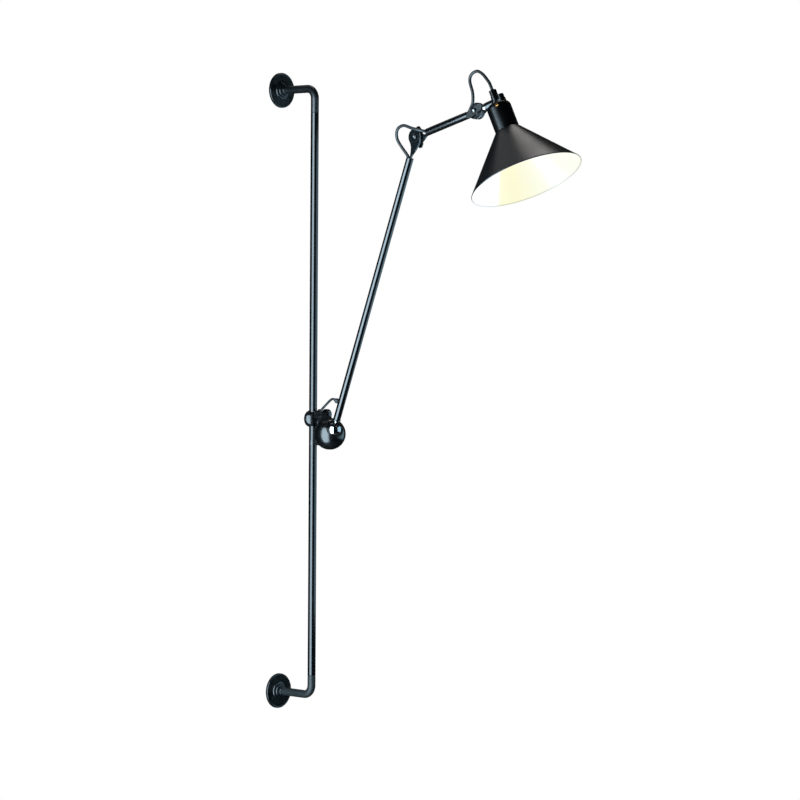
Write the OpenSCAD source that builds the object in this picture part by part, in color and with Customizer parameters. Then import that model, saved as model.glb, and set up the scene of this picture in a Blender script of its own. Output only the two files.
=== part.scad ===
// Rail-mounted wall lamp: a vertical wall rail, a clamp that slides and turns on it,
// a ball joint, two arms with friction elbows and a conical shade on a swivel head.
// The wall is the plane Y = 0, the lamp reaches towards -Y, and Z points up.

/* [Rail] */
// Height between the centres of the two wall flanges
flange_span = 1208; // [900:1:1600]
// Outer diameter of the rail and of its end pipes
rail_d = 16; // [13:0.5:16.5]
// Wall of the rail and of its end pipes
rail_wall = 1.5; // [1:0.25:2]
// Distance from the wall to the rail's axis
standoff = 94; // [85:1:120]
// Bend radius of the end pipes on their centre line
bend_r = 20; // [18:1:30]
// Height of the lower seam above the lower flange's centre
lower_seam = 40; // [35:1:80]
// Depth of the upper seam below the upper flange's centre
upper_seam = 48; // [35:1:80]
// Length of the nipple that joins rail and end pipe
nipple_len = 30; // [20:1:50]
// Wall of that nipple
nipple_wall = 2; // [1.5:0.25:3]

/* [Flanges] */
// Diameter of each wall flange
flange_d = 70; // [66:1:90]
// Thickness of the flange's plate
flange_t = 4.5; // [4:0.5:8]
// Radius of the bead round the flange's edge
bead_r = 2; // [1.5:0.25:2.5]
// Diameter of the raised boss on the flange
boss_d = 37; // [34:1:40]
// Height of that boss above the plate
boss_h = 3; // [2:0.5:4]
// Diameter of the hub on the boss
hub_d = 28; // [26:1:30]
// Height of that hub above the boss
hub_h = 4; // [3:0.5:6]
// Diameter of the collar that grips the end pipe
collar_d = 20; // [19.5:0.5:23]
// Length of that collar beyond the hub
collar_len = 5.5; // [4.5:0.5:10]
// Thickness of the web behind the end pipe's seat
seat_t = 2; // [1.5:0.25:3]
// Diameter of the circle of wall screws
screw_pcd = 52; // [50:1:54]
// Number of wall screws in each flange
screw_count = 3; // [3:1:4]
// Diameter of each wall-screw hole
screw_hole_d = 4.5; // [3.5:0.5:5]
// Diameter of each countersink
sink_d = 8.5; // [7:0.5:9]
// Diameter of the grub screw in each collar
grub_d = 3; // [2.5:0.5:4]

/* [Carrier] */
// Height of the ball housing's centre above the lower flange
carrier_z = 524; // [300:1:900]
// Distance from the rail's axis to the ball housing's centre
housing_out = 46; // [44:1:52]
// Diameter of the ball housing
housing_d = 63; // [60:1:68]
// Height of the clamp barrel's axis above the housing's centre
barrel_rise = 28.5; // [27:0.5:32]
// Diameter of the clamp barrel
barrel_d = 33; // [31:0.5:36]
// Length of the clamp barrel on the wall side of the rail's axis
barrel_back = 10; // [10:0.5:14]
// Length of the clamp barrel on the lamp side of the rail's axis
barrel_front = 12; // [10:0.5:14]
// Wall of the bush between clamp and rail
bush_wall = 0.9; // [0.8:0.1:1]
// Length of that bush
bush_len = 26; // [20:1:28]
// Distance from the rail's axis to the pinch bolt
bolt_out = 17; // [16.5:0.5:19]
// Height of the pinch bolt above the barrel's axis
bolt_rise = 8.5; // [7:0.5:9]
// Diameter of the pinch bolt
bolt_d = 5; // [4:0.5:6]
// Thickness of the housing's tongue between the clamp's ears
tongue_t = 8; // [6:0.5:9]
// Thickness of each clamp ear
ear_t = 4.5; // [3.5:0.5:9]
// Radius of each clamp ear round the bolt
ear_r = 6.5; // [6:0.5:8]
// Diameter of the clamp knob
knob_d = 22; // [18:1:24]
// Thickness of the clamp knob
knob_t = 9; // [7:0.5:12]
// Depth of the guide saddle below the housing's centre
saddle_drop = 19; // [16:1:22]
// Height of the guide saddle
saddle_h = 9; // [5:0.5:10]
// Wall of the guide saddle
saddle_wall = 2.2; // [1.8:0.1:3]
// Slope of the cord's bush in the housing's tongue, from upright
gland_lean = 55; // [45:1:60]
// Bore of the cable inlet below the housing
inlet_d = 6.5; // [5.5:0.5:8]

/* [Arm foot] */
// Diameter of the arm's ball
ball_d = 30.5; // [29:0.5:31]
// Sideways offset of the ball from the rail's plane
foot_side = 8; // [6:0.5:9]
// Distance of the ball beyond the housing's centre
foot_out = 18.5; // [17.5:0.5:20]
// Height of the ball above the housing's centre
foot_rise = 9.5; // [8.5:0.5:11]
// Diameter of the retaining ring's threaded spigot
spigot_d = 40; // [38:1:42]
// Height of the retaining ring's lip past the ball's middle
lip_h = 3.5; // [3:0.25:4]
// Diameter of the ball's neck
neck_d = 8; // [7:0.5:9]
// Diameter of the ball's stud inside the arm
stud_d = 6; // [5:0.5:7]
// Diameter of the flared ferrule at the arm's foot
ferrule_d = 16.5; // [16:0.5:17]
// Distance from the ball's centre to the ferrule
ferrule_gap = 18.6; // [18.4:0.2:20]
// Height of the ferrule's flare
ferrule_h = 3.6; // [3:0.2:6]

/* [Arms] */
// Outer diameter of both arm tubes
arm_d = 14.5; // [13.5:0.5:14.5]
// Wall of both arm tubes
arm_wall = 1.5; // [1:0.25:1.75]
// Length of the lower arm between ball and first elbow
lower_len = 607.1; // [400:0.1:900]
// Lean of the lower arm from upright
lower_lean = 20.27; // [12:0.01:60]
// Length of the upper arm between its two elbows
upper_len = 160; // [140:1:300]
// Rise of the upper arm above level
upper_rise = 15.8; // [0:0.1:30]
// Height of the cord's entry above the ball, along the arm
grommet_z = 56; // [50:1:80]

/* [Elbows] */
// Diameter of each elbow disc
disc_d = 31.5; // [28:0.5:32]
// Thickness of each elbow disc
disc_t = 4.4; // [3.5:0.1:5]
// Thickness of the friction washer between two discs
washer_t = 0.9; // [0.6:0.1:1.4]
// Diameter of each elbow bolt
pin_d = 6; // [5:0.5:7]
// Diameter of the recess for the bolt's head
recess_d = 13.4; // [12:0.2:15]
// Depth of that recess
recess_h = 2; // [1.5:0.1:2.4]
// Distance from the lower tube's end to its elbow
lower_mouth = 43; // [38:1:50]
// Distance from the upper tube's ends to their elbows
upper_mouth = 30; // [26:1:40]
// Distance from the upper tube's outer end to its elbow
outer_mouth = 23; // [21:1:30]
// Length of the notch that lets the cord out at a tube's mouth
notch_len = 12; // [8:1:16]
// Length of the plug inside each tube
plug_len = 14; // [10:1:20]
// Span of a wing nut across its wings
wing_span = 42; // [36:1:46]
// Width of a wing
wing_w = 13; // [10:0.5:15]
// Thickness of a wing
wing_t = 3; // [2:0.5:4]
// Turn of the first wing nut from upright
wing_turn_1 = -10; // [-30:5:45]
// Turn of the second wing nut from upright
wing_turn_2 = 60; // [30:5:80]

/* [Head] */
// Distance from the second elbow to the head's axis
neck_len = 49; // [48:1:60]
// Rise of the neck above level
neck_rise = 18; // [10:1:25]
// Tilt of the head's axis from straight down
head_tilt = 26.5; // [0:0.5:60]
// Diameter of the swivel sleeve
sleeve_d = 16; // [12:0.5:16]
// Distance from the elbow to the swivel sleeve
sleeve_gap = 22.6; // [22:0.2:24]
// Width of the bright spacer in front of that sleeve
spacer_t = 3; // [2:0.25:4]
// Diameter of the bracket's hub on the head's axis
bracket_d = 16; // [15:0.5:18]
// Diameter of the cap screw beside the hub
cap_d = 13; // [10:0.5:13.5]
// Height of the cap screw's head
cap_h = 9.5; // [6:0.5:12]
// Distance of the cap screw from the head's axis
cap_out = 13; // [12.5:0.5:13.5]
// Outer diameter of the head's cup
cup_d = 46.6; // [44:0.2:50]
// Length of the cup
cup_len = 56; // [52:1:68]
// Rounding of the cup's shoulder
dome_r = 10; // [8.5:0.5:11]
// Wall of the cup
cup_wall = 1.5; // [1:0.25:2]
// Number of vent holes round the shoulder
vent_count = 6; // [4:1:8]
// Slope of the vent holes above the shoulder's lower edge
vent_rise = 5; // [0:5:30]
// Diameter of a vent hole
vent_d = 6; // [4:0.5:6.5]
// Turn of the first vent hole from the lamp's right side
vent_turn = 30; // [0:5:60]
// Outer diameter of the cord gland
gland_d = 14.5; // [13:0.5:16]
// Length of the cord gland
gland_len = 12; // [10:1:16]
// Width of the slit in the cord gland
slit_w = 2.6; // [2:0.2:3]

/* [Shade] */
// Outer diameter of the shade at its rim
shade_d = 217.5; // [180:0.5:280]
// Height of the shade's cone
shade_h = 105; // [95:1:140]
// Wall of the shade
shade_wall = 1.2; // [1:0.1:2]
// Radius of the rolled rim
rim_r = 1.2; // [1:0.1:1.6]

/* [Lamp] */
// Diameter of the lamp holder's skirt
holder_d = 39.6; // [38:0.2:40]
// Diameter of the lamp's screw cap
lamp_cap_d = 26; // [25:0.5:26.5]
// Diameter of the lamp's glass
bulb_d = 45; // [42:1:60]
// Length of the lamp's glass
bulb_len = 54; // [52:1:84]

/* [Cords] */
// Diameter of the cord at the two elbows
cord_d = 6; // [5:0.1:6]
// Diameter of the cord at the arm's foot
foot_cord_d = 4.8; // [4.5:0.1:5]

/* [Fits] */
// Radial clearance of a running fit
fit = 0.05; // [0.03:0.01:0.1]
// Clearance between fixed pieces that slide into each other
slip = 0.1; // [0.05:0.05:0.2]
// Clearance between pieces that pass each other
gap = 0.3; // [0.3:0.05:0.6]

/* [Hidden] */
$fn = 48;

black = [0.05, 0.055, 0.06];
grey = [0.2, 0.21, 0.22];
steel = [0.62, 0.63, 0.65];
brass = [0.8, 0.65, 0.3];
rubber = [0.03, 0.03, 0.03];

far = 400;             // longer than any cut needs
eps = 0.01;            // lets a cut pass its face
arc_steps = 6;
rail_r = rail_d / 2;
rail_bore = rail_d - 2 * rail_wall;
flange_r = flange_d / 2;
boss_top = flange_t + boss_h;
hub_top = boss_top + hub_h;
collar_top = hub_top + collar_len;
hub_edge = 2;          // rounding of the hub's edge
collar_edge = 1.2;     // rounding of the collar's edge
bush_d = rail_d + 2 * fit + 2 * bush_wall;
saddle_r = rail_r + 2 * fit + saddle_wall;
saddle_back = 3;       // how far the saddle stays in front of the rail's axis
seam_edge = 0.4;       // chamfer at the seams of the rail
bolt_head_d = bolt_d + 4;
bolt_head_h = 2;
gland_out = bolt_out + 3.5;
gland_z = barrel_rise + bolt_rise + 7.8;
gland_deep = 3.5;
gland_d_in = foot_cord_d + 1.6;
inlet_deep = 8;
inlet_sunk = 0.6;      // how far the inlet's bush lies below the housing's surface
grommet_r = 5.2;
grommet_h = 11.5;
grommet_seat = 5;      // depth at which the cord ends in its grommet
slot_w = tongue_t + 2 * slip;
ear_x = slot_w / 2 + ear_t;
bolt_z = barrel_rise + bolt_rise;
knob_x = barrel_d / 2 + 0.8;  // where the knob starts, clear of the barrel
washer_h = 2;
washer_d = 11;
spot_d = washer_d + 1;  // spot face in the barrel that clears washer and knob
housing_r = housing_d / 2;
ball_r = ball_d / 2;
foot = [-foot_side, -foot_out, foot_rise];
foot_reach = norm(foot);
ring_seat = foot_reach - 4.5;
spigot_len = 6;
pocket_r = ball_r + slip;
seat_r = spigot_d / 2 - 4;
stem_cut = 0.6;        // how far the cord's half of a tube is kept free
arm_bore = arm_d - 2 * arm_wall;
plug_d = arm_bore - 2 * fit;
cord_off = arm_bore / 2 - cord_d / 2 - fit;
disc_in = washer_t / 2 + slip;
disc_out = disc_in + disc_t;
step_h = 0.8;          // height of the ring turned on a disc
step_d = 21;
wing_x = disc_out + step_h + gap;
wing_hub_d = 12;
wing_hub_h = 8;
cup_top = 4;           // from the neck's axis down to the cup's top
cup_end = cup_top + cup_len;
cup_bore = 5;          // radius of the cord's hole in the cup
cup_r = cup_d / 2;
shade_top = cup_end + slip;
shade_end = shade_top + shade_h;
shade_r = shade_d / 2;
hub_low = cup_top - slip;
hub_high = -12;
cap_z = 0.5;            // seat of the cap screw
gland_end = hub_high - gland_len;
holder_top = cup_top + cup_wall + 4;
holder_end = shade_top + 7;
thread_d = lamp_cap_d + 2 * slip;
cap_len = 24;
first_elbow = [0, 0, lower_len];
upper_tube_len = upper_len - upper_mouth - outer_mouth;

// points of an arc round c, from angle a0 to a1
function arc(c, r, a0, a1, n = arc_steps) =
    [for (i = [0:n]) let (a = a0 + (a1 - a0) * i / n) [c[0] + r * cos(a), c[1] + r * sin(a)]];

module at_carrier() translate([0, -standoff, carrier_z]) children();
module at_housing() at_carrier() translate([0, -housing_out, 0]) children();
// local Z runs from the housing's centre to the ball's centre
module along_socket() at_housing()
    rotate([0, acos(foot[2] / foot_reach), atan2(foot[1], foot[0])]) children();
module along_lower() at_housing() translate(foot) rotate([lower_lean, 0, 0]) children();
module at_elbow_1() at_housing()
    translate(foot + lower_len * [0, -sin(lower_lean), cos(lower_lean)]) children();
module along_upper() at_elbow_1() rotate([90 - upper_rise, 0, 0]) children();
module at_elbow_2() at_elbow_1()
    translate(upper_len * [0, -cos(upper_rise), sin(upper_rise)]) children();
module along_neck() at_elbow_2() rotate([90 - neck_rise, 0, 0]) children();
// local Z runs down the head's axis, from where the neck's axis meets it
module in_head() at_elbow_2()
    translate(neck_len * [0, -cos(neck_rise), sin(neck_rise)])
    rotate([180 - head_tilt, 0, 0]) children();

module outward() rotate([90, 0, 0]) children();
module sideways() rotate([0, 90, 0]) children();
module tube(d, bore, h) difference() {
    cylinder(d = d, h = h);
    translate([0, 0, -eps]) cylinder(d = bore, h = h + 2 * eps);
}

// Wall side

module flange_blank() rotate_extrude() polygon(concat(
    [[rail_bore / 2, 0], [flange_r - 0.8, 0], [flange_r, 0.8]],
    arc([flange_r - bead_r, flange_t - 1], bead_r, 0, 150),
    [[boss_d / 2, flange_t]],
    arc([boss_d / 2 - boss_h, flange_t], boss_h, 0, 90),
    [[hub_d / 2, boss_top]],
    arc([hub_d / 2 - hub_edge, hub_top - hub_edge], hub_edge, 0, 90),
    [[collar_d / 2, hub_top]],
    arc([collar_d / 2 - collar_edge, collar_top - collar_edge], collar_edge, 0, 90),
    [[rail_r + fit, collar_top], [rail_r + fit, seat_t], [rail_bore / 2, seat_t]]));

module flange() color(black) outward() difference() {
    flange_blank();
    for (i = [0:screw_count - 1]) rotate(90 + i * 360 / screw_count)
        translate([screw_pcd / 2, 0, 0]) {
            translate([0, 0, -eps]) cylinder(d = screw_hole_d, h = flange_t + 1, $fn = 32);
            translate([0, 0, flange_t - (sink_d - screw_hole_d) / 2])
                cylinder(d1 = screw_hole_d, d2 = sink_d + 0.4,
                         h = (sink_d - screw_hole_d) / 2 + 0.2, $fn = 32);
        }
    translate([0, 0, hub_top + collar_len / 2]) outward()
        cylinder(d = grub_d, h = collar_d, $fn = 24);
}

module grub_screw() translate([0, -hub_top - collar_len / 2, 0]) mirror([0, 0, 1])
    translate([0, 0, rail_r + slip]) difference() {
        cylinder(d = grub_d - 2 * slip, h = collar_d / 2 - rail_r - 2 * slip, $fn = 24);
        translate([-grub_d, -0.25, collar_d / 2 - rail_r - 1]) cube([2 * grub_d, 0.5, 2]);
    }

module bent_pipe(d, leg) {
    translate([0, -seat_t, 0]) outward() cylinder(d = d, h = standoff - bend_r - seat_t);
    translate([0, -(standoff - bend_r), bend_r]) rotate([180, 90, 0])
        rotate_extrude(angle = 90) translate([bend_r, 0]) circle(d = d);
    translate([0, -standoff, bend_r]) cylinder(d = d, h = leg - bend_r - seam_edge);
    translate([0, -standoff, leg - seam_edge])
        cylinder(d1 = d, d2 = d - 2 * seam_edge, h = seam_edge);
}
module end_pipe(leg) color(grey) difference() {
    bent_pipe(rail_d, leg);
    translate([0, eps, 0]) bent_pipe(rail_bore, leg);
    translate([0, -standoff, leg - 1]) cylinder(d = rail_bore, h = 2);
    translate([0, -seat_t + 1, 0]) outward() cylinder(d = rail_bore, h = 2);
}

module nipple(z) translate([0, -standoff, z - nipple_len / 2])
    tube(rail_bore - 2 * fit, rail_bore - 2 * nipple_wall, nipple_len);

module lower_flange() flange();
module upper_flange() translate([0, 0, flange_span]) flange();
module flange_grub_screws() color(steel) for (z = [0, flange_span])
    translate([0, 0, z]) grub_screw();
module lower_end_pipe() end_pipe(lower_seam);
module upper_end_pipe() translate([0, 0, flange_span]) mirror([0, 0, 1]) end_pipe(upper_seam);
module rail_tube() color(black) translate([0, -standoff, lower_seam]) rotate_extrude()
    polygon([[rail_bore / 2, 0], [rail_r - seam_edge, 0], [rail_r, seam_edge],
        [rail_r, rail_len - seam_edge], [rail_r - seam_edge, rail_len], [rail_bore / 2, rail_len]]);
rail_len = flange_span - lower_seam - upper_seam;
module rail_nipples() color(steel) for (z = [lower_seam, flange_span - upper_seam]) nipple(z);

// Carrier on the rail

module rail_bush() color(grey) at_carrier() translate([0, 0, barrel_rise - bush_len / 2])
    tube(bush_d, rail_d + 2 * fit, bush_len);

module barrel_blank() translate([0, barrel_back, barrel_rise]) outward()
    rotate_extrude() polygon(concat([[0, 0]],
        arc([barrel_d / 2 - 1.5, 1.5], 1.5, -90, 0),
        arc([barrel_d / 2 - 1.5, barrel_back + barrel_front - 1.5], 1.5, 0, 90),
        [[0, barrel_back + barrel_front]]));

module ear_blank() translate([-ear_x, 0, 0]) {
    translate([0, -bolt_out, bolt_z]) sideways() cylinder(r = ear_r, h = 2 * ear_x);
    translate([0, -bolt_out, bolt_z - ear_r]) cube([2 * ear_x, bolt_out - 4, 2 * ear_r]);
}

module clamp_barrel() color(black) at_carrier() difference() {
    union() {
        barrel_blank();
        ear_blank();
    }
    translate([0, 0, -far / 2]) cylinder(d = bush_d + 2 * fit, h = far);
    translate([-slot_w / 2, -far, 0]) cube([slot_w, far, 2 * barrel_d]);
    translate([-far / 2, -bolt_out, bolt_z]) sideways() cylinder(d = bolt_d + 2 * slip, h = far);
    translate([-ear_x - eps, -bolt_out, bolt_z]) sideways()
        cylinder(d1 = bolt_head_d + 4 * slip, d2 = bolt_d + 4 * slip, h = bolt_head_h + slip);
    translate([ear_x, -bolt_out, bolt_z]) sideways() cylinder(d = spot_d, h = far);
}

module pinch_bolt() color(black) at_carrier() translate([-ear_x, -bolt_out, bolt_z])
    sideways() difference() {
        union() {
            cylinder(d = bolt_d, h = ear_x + knob_x + knob_t - 1);
            cylinder(d1 = bolt_head_d, d2 = bolt_d, h = bolt_head_h);
        }
        translate([-bolt_head_d / 2, -0.6, -eps]) cube([bolt_head_d, 1.2, 1.2]);
    }

module clamp_washer() color(steel) at_carrier() translate([ear_x, -bolt_out, bolt_z])
    sideways() tube(washer_d, bolt_d + 2 * slip, washer_h);

module clamp_knob() color(black) at_carrier() translate([knob_x, -bolt_out, bolt_z])
    sideways() difference() {
        union() {
            translate([0, 0, ear_x + washer_h + 0.2 - knob_x])
                cylinder(d = 10.4, h = knob_x - ear_x - washer_h + 1);
            rotate_extrude() polygon(concat([[0, 0]],
                arc([knob_d / 2 - 1, 1], 1, -90, 0, 3),
                arc([knob_d / 2 - 2, knob_t - 2], 2, 0, 90, 4), [[0, knob_t]]));
        }
        for (i = [0:11]) rotate(i * 30) translate([knob_d / 2 + 1, 0, -2])
            cylinder(d = 4, h = knob_t + 4, $fn = 16);
        translate([0, 0, -far / 2]) cylinder(d = bolt_d + 2 * fit, h = far);
    }

// plate that lies in the rail's plane; points are [distance from the rail, height]
module rail_plate(t, points) translate([-t / 2, 0, 0]) rotate([90, 0, 90])
    linear_extrude(t) mirror([1, 0]) polygon(points);

// the cord's bush lies in the tongue's top; local Z runs out along the cord
module at_gland() at_carrier() translate([0, -gland_out, gland_z])
    rotate([gland_lean, 0, 0]) children();
gland_wall = (gland_d_in / 2 + 1) * [-cos(gland_lean), sin(gland_lean)];

module housing_blank() {
    translate([0, -housing_out, 0]) sphere(d = housing_d, $fn = 64);
    rail_plate(tongue_t, [
        [bolt_out - 2.5, bolt_z + 7.5], [gland_out, gland_z] + gland_wall,
        [gland_out, gland_z] - gland_wall + [0.5, 1.6], [housing_out + 5, housing_r - 1],
        [housing_out, 0], [housing_out - 22, 16], [bolt_out - 5, bolt_z - 7]]);
    translate([-tongue_t / 2, -bolt_out, bolt_z]) sideways()
        cylinder(r = bolt_out - bush_d / 2 - 2 * gap, h = tongue_t);
    intersection() {
        translate([0, 0, -saddle_drop - saddle_h / 2]) cylinder(r = saddle_r, h = saddle_h);
        translate([-saddle_r, -saddle_back - saddle_r, -saddle_drop - saddle_h])
            cube([2 * saddle_r, saddle_r, 2 * saddle_h]);
    }
    rail_plate(tongue_t, [
        [rail_r + 1, saddle_h / 2 - saddle_drop], [rail_r + 3, saddle_h / 2 - saddle_drop + 2],
        [rail_r + 8, saddle_h / 2 - saddle_drop + 8], [housing_out - 10, 0],
        [housing_out - 14, -saddle_drop - saddle_h / 2 - 1],
        [rail_r + 1, -saddle_drop - saddle_h / 2]]);
}

module ball_housing() color(black) difference() {
    at_carrier() housing_blank();
    along_socket() translate([0, 0, ring_seat]) cylinder(d = 2 * housing_d, h = far);
    along_socket() translate([0, 0, ring_seat - spigot_len])
        cylinder(d = spigot_d + 2 * slip, h = far);
    along_socket() translate([0, 0, foot_reach - ball_r - 5])
        cylinder(r = seat_r + slip, h = far);
    at_carrier() translate([0, 0, -far / 2]) cylinder(d = rail_d + 4 * fit, h = far);
    at_carrier() translate([-far / 2, -bolt_out, bolt_z]) sideways()
        cylinder(d = bolt_d + 2 * slip, h = far);
    at_gland() translate([0, 0, -gland_deep]) cylinder(d = gland_d_in + 2 * slip, h = far);
    at_gland() cylinder(d = gland_d_in + 2, h = far);
    at_housing() translate([0, 0, -housing_r - 1])
        cylinder(d = inlet_d + 4 + 2 * slip, h = inlet_deep + 1);
}

module socket_ring() color(black) along_socket() difference() {
    union() {
        intersection() {
            sphere(d = housing_d, $fn = 64);
            translate([0, 0, ring_seat])
                cylinder(d = 2 * housing_d, h = foot_reach + lip_h - ring_seat);
        }
        translate([0, 0, ring_seat - spigot_len + slip])
            cylinder(d = spigot_d, h = spigot_len + 1);
    }
    translate([0, 0, foot_reach]) sphere(r = pocket_r, $fn = 64);
    translate([0, 0, foot_reach + lip_h - 1])
        cylinder(r1 = pocket_r - 1, r2 = pocket_r + 1, h = 1 + eps);
    translate([0, 0, ring_seat - spigot_len - 1])
        cylinder(r = seat_r + slip, h = 3.5);
}

module ball_seat() color(steel) along_socket() difference() {
    translate([0, 0, foot_reach - ball_r - 5 + slip])
        cylinder(r = seat_r, h = ball_r + 5 - foot_reach + ring_seat - spigot_len + 1.5);
    translate([0, 0, foot_reach]) sphere(r = pocket_r, $fn = 64);
}

module foot_gland() color(rubber) at_gland() difference() {
    union() {
        translate([0, 0, slip - gland_deep]) cylinder(d = gland_d_in, h = gland_deep - slip);
        cylinder(d1 = gland_d_in, d2 = gland_d_in - 0.8, h = 0.6);
    }
    translate([0, 0, -2.2]) cylinder(d = foot_cord_d + 2 * fit, h = gland_deep);
}

module inlet_grommet() color(rubber) at_housing() translate([0, 0, inlet_sunk - housing_r])
    tube(inlet_d + 4, inlet_d, inlet_deep - inlet_sunk - slip);

// Arm foot

module arm_ball() color(black) along_lower() {
    sphere(d = ball_d, $fn = 64);
    cylinder(d = neck_d, h = ferrule_gap);
    cylinder(d = stud_d, h = ferrule_gap + ferrule_h + 16);
}

module foot_ferrule() color(black) along_lower() difference() {
    translate([0, 0, ferrule_gap + slip]) rotate_extrude() polygon(concat(
        [[0, 0], [ferrule_d / 2 - 0.6, 0], [ferrule_d / 2, 0.8]],
        [[arm_d / 2 + 0.6, ferrule_h - 0.4], [arm_d / 2, ferrule_h], [plug_d / 2, ferrule_h],
         [plug_d / 2, ferrule_h + 14], [0, ferrule_h + 14]]));
    cylinder(d = stud_d + 2 * fit, h = far);
}

module lower_arm_tube() color(black) along_lower() difference() {
    translate([0, 0, ferrule_gap + ferrule_h + slip])
        tube(arm_d, arm_bore, lower_len - lower_mouth - ferrule_gap - ferrule_h - slip);
    translate([0, 0, grommet_z]) rotate([-90, 0, 0])
        cylinder(d = foot_cord_d + 1.2 + 2 * slip, h = arm_d);
    translate([0, 0, lower_len - lower_mouth - notch_len]) mouth_notch();
}

module mouth_notch() translate([-cord_d / 2 - 0.4, 0, 0])
    cube([cord_d + 0.8, arm_d, notch_len + 1]);

module arm_grommet() color(rubber) along_lower() translate([0, 0, grommet_z])
    rotate([-90, 0, 0]) difference() {
        union() {
            translate([0, 0, arm_bore / 2 - 1])
                cylinder(d = foot_cord_d + 1.2, h = arm_wall + 2);
            translate([0, 0, arm_d / 2 + gap]) rotate_extrude() polygon(concat(
                [[0, 0]], arc([0, grommet_r], grommet_r, -62, 55, 8),
                [[foot_cord_d / 2 + 0.8, grommet_h], [0, grommet_h]]));
        }
        translate([0, 0, arm_d / 2 + gap + grommet_seat])
            cylinder(d = foot_cord_d + 2 * fit, h = grommet_h);
    }

module lower_arm_cable() color(rubber) along_lower()
    translate([0, cord_off, grommet_z + 12])
    cylinder(d = cord_d, h = lower_len - lower_mouth - notch_len - grommet_z - 12);

// Elbow discs and their plates; local Z runs from the tube to the elbow, side is -1 or 1

module disc(side, sunk) rotate([0, 90 * side, 0]) difference() {
    translate([0, 0, disc_in]) rotate_extrude() polygon(concat(
        [[0, 0]], [[disc_d / 2 - 0.4, 0], [disc_d / 2, 0.4]],
        arc([disc_d / 2 - 1.2, disc_t - 1.2], 1.2, 0, 90, 4),
        [[step_d / 2, disc_t], [step_d / 2 - 0.5, disc_t + step_h], [0, disc_t + step_h]]));
    translate([0, 0, -eps]) cylinder(d = pin_d + 2 * fit, h = far);
    if (sunk) translate([0, 0, disc_out + step_h - recess_h]) cylinder(d = recess_d, h = far);
}

// the flat that narrows from the disc to the tube's mouth
module spoon(side, mouth) translate([side > 0 ? disc_in : -disc_out, 0, 0])
    rotate([90, 0, 90]) linear_extrude(disc_t) polygon([
        [-disc_d / 2 + 0.3, -3], [-disc_d / 2 + 0.8, -0.22 * mouth],
        [-disc_d / 2 + 3, -0.44 * mouth], [-disc_d / 2 + 5.5, -0.6 * mouth],
        [-disc_d / 2 + 9, -0.78 * mouth], [-arm_bore / 2 + 0.6, -mouth + 2],
        [-arm_bore / 2 + 0.6, -mouth], [-2.9, -mouth], [-2.8, -mouth + 3],
        [-stem_cut, -0.66 * mouth], [1.5, -0.5 * mouth], [5.5, -0.36 * mouth],
        [disc_d / 2 - 4, -0.23 * mouth], [disc_d / 2 - 0.9, -4]]);

module stem(side, mouth, sunk) difference() {
    union() {
        translate([0, 0, -mouth - plug_len]) cylinder(d = plug_d, h = plug_len);
        intersection() {
            spoon(side, mouth);
            translate([0, 0, -mouth]) cylinder(d1 = plug_d, d2 = 3 * disc_d, h = mouth);
        }
    }
    if (sunk) rotate([0, 90 * side, 0]) translate([0, 0, disc_out + step_h - recess_h])
        cylinder(d = recess_d, h = far);
    translate([-plug_d, -stem_cut, -mouth - plug_len - 1])
        cube([2 * plug_d, plug_d, plug_len + 1 + eps]);
    sideways() translate([0, 0, -far / 2]) cylinder(d = pin_d + 2 * fit, h = far);
    sideways() translate([0, 0, side > 0 ? -far : -disc_in]) cylinder(d = disc_d, h = far);
}

module elbow_plate(side, mouth, sunk) {
    disc(side, sunk);
    stem(side, mouth, sunk);
}

module elbow_bolt(side) rotate([0, 90 * side, 0]) {
    translate([0, 0, -wing_x - wing_hub_h + 1]) cylinder(d = pin_d,
        h = wing_x + wing_hub_h + disc_out + step_h - recess_h);
    difference() {
        translate([0, 0, disc_out + step_h - recess_h]) rotate_extrude() polygon(concat(
            [[0, 0], [recess_d / 2 - 1.6, 0]],
            arc([recess_d / 2 - 3.6, 1], 2, 0, 90, 4), [[0, 3]]));
        translate([-recess_d, -0.6, disc_out + step_h - recess_h + 1.7])
            cube([2 * recess_d, 1.2, 3]);
    }
}

module elbow_washer() sideways() translate([0, 0, -washer_t / 2])
    tube(disc_d - 4, pin_d + 2 * slip, washer_t);

module wing_nut(side, turn) rotate([turn, 0, 0]) rotate([0, 90 * side, 0]) difference() {
    union() {
        translate([0, 0, wing_x]) rotate_extrude() polygon(concat(
            [[0, 0], [wing_hub_d / 2 + 1, 0], [wing_hub_d / 2 + 1, 1.2], [wing_hub_d / 2, 2]],
            arc([wing_hub_d / 2 - 2, wing_hub_h - 2], 2, 0, 90, 4), [[0, wing_hub_h]]));
        translate([0, 0, wing_x + 2.5]) linear_extrude(wing_t) polygon(concat(
            wing_edge(1), wing_edge(-1)));
    }
    translate([0, 0, wing_x - eps]) cylinder(d = pin_d + 2 * fit, h = wing_hub_h + 1);
}
// one end of a wing nut, with clipped corners; s turns it round
function wing_edge(s) = [for (p = [[wing_span / 2 - 6, -wing_w / 2], [wing_span / 2, -wing_w / 5],
    [wing_span / 2, wing_w / 5], [wing_span / 2 - 6, wing_w / 2]]) s * p];

module lower_arm_plate() color(grey) along_lower() translate(first_elbow)
    elbow_plate(-1, lower_mouth, true);
module elbow_1_bolt() color(steel) along_lower() translate(first_elbow) elbow_bolt(-1);
module elbow_1_washer() color(rubber) along_lower() translate(first_elbow) elbow_washer();
module elbow_1_wing_nut() color(black) at_elbow_1() wing_nut(1, wing_turn_1);

// Upper arm

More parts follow.
